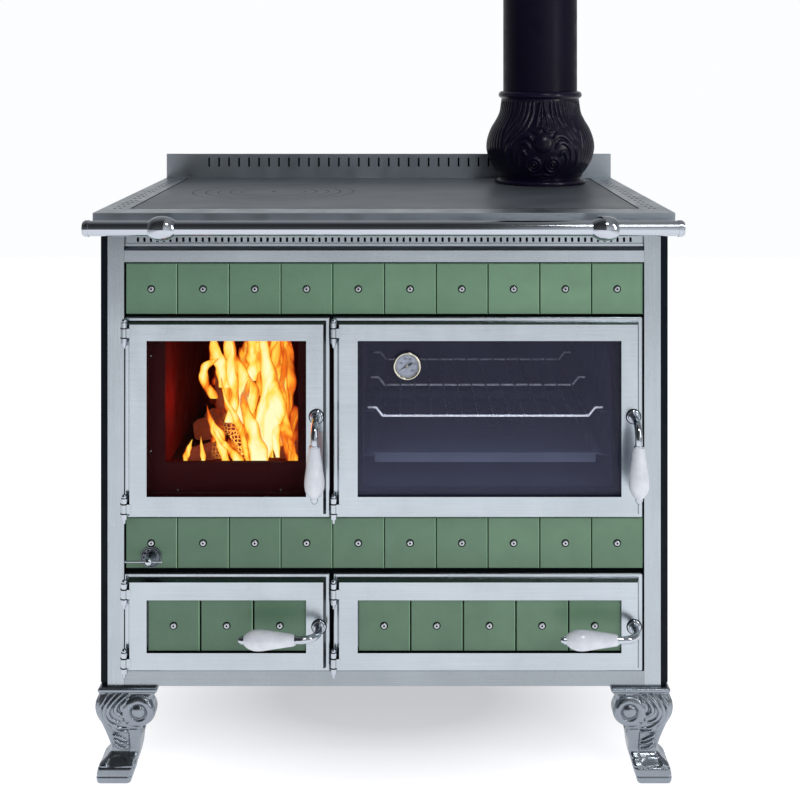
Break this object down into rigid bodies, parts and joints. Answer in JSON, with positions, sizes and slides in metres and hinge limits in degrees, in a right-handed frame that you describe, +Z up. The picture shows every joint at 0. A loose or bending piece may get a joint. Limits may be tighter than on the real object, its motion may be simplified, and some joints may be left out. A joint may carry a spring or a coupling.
{
  "type": "wood burning cooker",
  "caption": "Freestanding wood burning cooker with glazed fire and oven doors, tiled lower doors, hob with lift-out rings, towel rail and top flue pipe.",
  "frame": {"origin": "on the floor, under the middle of the object's bounding box", "axes": "+Z up along the flue pipe, front with the doors facing -Y, +X to the right"},
  "size_m": [0.892, 0.665, 1.87],
  "materials": {
    "polished_steel": "polished",
    "brushed_steel": "satin",
    "chrome": "polished",
    "dark_panel": "satin",
    "cast_front": "matte",
    "hob_steel": "satin",
    "black_cast": "satin",
    "black_pipe": "satin",
    "green_glaze": "gloss",
    "fire_glass": "polished",
    "oven_glass": "polished",
    "white_ceramic": "gloss",
    "rope": "matte",
    "fire_lining": "matte",
    "grate_iron": "matte",
    "oven_enamel": "satin",
    "wire_chrome": "polished",
    "tray_enamel": "gloss",
    "screw_steel": "polished",
    "dial_steel": "polished",
    "needle_black": "matte",
    "zinc": "satin"
  },
  "bodies": {
    "cabinet": {"leg_front_left": "chrome", "leg_front_right": "chrome", "leg_rear_left": "chrome", "leg_rear_right": "chrome", "base_frame": "zinc", "plinth_strip": "polished_steel", "side_panel_left": "dark_panel", "side_panel_right": "dark_panel", "rear_panel": "zinc", "corner_post_left": "polished_steel", "corner_post_right": "polished_steel", "front_plate": "cast_front", "vent_fascia": "polished_steel", "upper_tile_row": "green_glaze", "middle_tile_row": "green_glaze", "tile_screws": "screw_steel", "hob_frame": "brushed_steel", "hob_plate": "hob_steel", "backsplash": "brushed_steel", "towel_rail": "chrome", "rail_end_caps": "chrome", "rail_brackets": "chrome", "flue_collar": "black_cast", "flue_pipe": "black_pipe", "firebox_lining": "fire_lining", "fire_grate": "grate_iron", "ash_pan": "zinc", "oven_box": "oven_enamel", "oven_rack": "wire_chrome", "baking_tray": "tray_enamel", "hinge_lugs": "chrome", "air_valve_rosette": "chrome"},
    "fire_door": {"fire_door_frame": "polished_steel", "fire_door_glass": "fire_glass", "fire_door_glass_retainer": "cast_front", "fire_door_rope_seal": "rope"},
    "oven_door": {"oven_door_frame": "polished_steel", "oven_door_glass": "oven_glass", "oven_door_glass_retainer": "cast_front", "oven_door_rope_seal": "rope", "oven_thermometer": "dial_steel"},
    "ash_door": {"ash_door_frame": "polished_steel", "ash_door_tiles": "green_glaze", "ash_door_screws": "screw_steel"},
    "wood_door": {"wood_door_frame": "polished_steel", "wood_door_tiles": "green_glaze", "wood_door_screws": "screw_steel"},
    "fire_handle": {"fire_handle_lever": "chrome", "fire_handle_grip": "white_ceramic"},
    "oven_handle": {"oven_handle_lever": "chrome", "oven_handle_grip": "white_ceramic"},
    "ash_handle": {"ash_handle_lever": "chrome", "ash_handle_grip": "white_ceramic"},
    "wood_handle": {"wood_handle_lever": "chrome", "wood_handle_grip": "white_ceramic"},
    "air_valve": {"air_valve_knob": "chrome"},
    "needle": {"thermometer_needle": "needle_black"},
    "hob_ring_outer": {"hob_ring_outer": "hob_steel"},
    "hob_ring_inner": {"hob_ring_inner": "hob_steel"},
    "hob_lid": {"hob_lid": "hob_steel"}
  },
  "joints": [
    {"name": "fire_door_hinge", "type": "hinge", "parent": "cabinet", "child": "fire_door", "pos_m": [-0.3943, -0.2695, 0.5608], "axis": [0, 0, -1], "range_deg": [0, 115]},
    {"name": "ash_door_hinge", "type": "hinge", "parent": "cabinet", "child": "ash_door", "pos_m": [-0.3943, -0.2695, 0.2422], "axis": [0, 0, -1], "range_deg": [0, 115]},
    {"name": "oven_door_hinge", "type": "hinge", "parent": "cabinet", "child": "oven_door", "pos_m": [-0.0764, -0.2695, 0.5608], "axis": [0, 0, -1], "range_deg": [0, 90]},
    {"name": "wood_door_hinge", "type": "hinge", "parent": "cabinet", "child": "wood_door", "pos_m": [-0.0764, -0.2695, 0.2422], "axis": [0, 0, -1], "range_deg": [0, 90]},
    {"name": "fire_handle_turn", "type": "hinge", "parent": "fire_door", "child": "fire_handle", "pos_m": [-0.1025, -0.2725, 0.5608], "axis": [0, 1, 0], "range_deg": [0, 90]},
    {"name": "ash_handle_turn", "type": "hinge", "parent": "ash_door", "child": "ash_handle", "pos_m": [-0.0985, -0.2725, 0.2422], "axis": [0, 1, 0], "range_deg": [0, 90]},
    {"name": "oven_handle_turn", "type": "hinge", "parent": "oven_door", "child": "oven_handle", "pos_m": [0.3782, -0.2725, 0.5608], "axis": [0, 1, 0], "range_deg": [0, 90]},
    {"name": "wood_handle_turn", "type": "hinge", "parent": "wood_door", "child": "wood_handle", "pos_m": [0.3793, -0.2725, 0.2422], "axis": [0, 1, 0], "range_deg": [0, 90]},
    {"name": "air_valve_turn", "type": "hinge", "parent": "cabinet", "child": "air_valve", "pos_m": [-0.3564, -0.2575, 0.3416], "axis": [0, 1, 0], "range_deg": [0, 90]},
    {"name": "thermometer_needle_turn", "type": "hinge", "parent": "oven_door", "child": "needle", "pos_m": [0.0352, -0.2715, 0.6372], "axis": [0, 1, 0], "range_deg": [0, 250]},
    {"name": "hob_ring_outer_lift", "type": "slide", "parent": "cabinet", "child": "hob_ring_outer", "axis": [0, 0, 1], "range_m": [0, 0.06]},
    {"name": "hob_ring_inner_lift", "type": "slide", "parent": "hob_ring_outer", "child": "hob_ring_inner", "axis": [0, 0, 1], "range_m": [0, 0.06]},
    {"name": "hob_lid_lift", "type": "slide", "parent": "hob_ring_inner", "child": "hob_lid", "axis": [0, 0, 1], "range_m": [0, 0.06]}
  ]
}
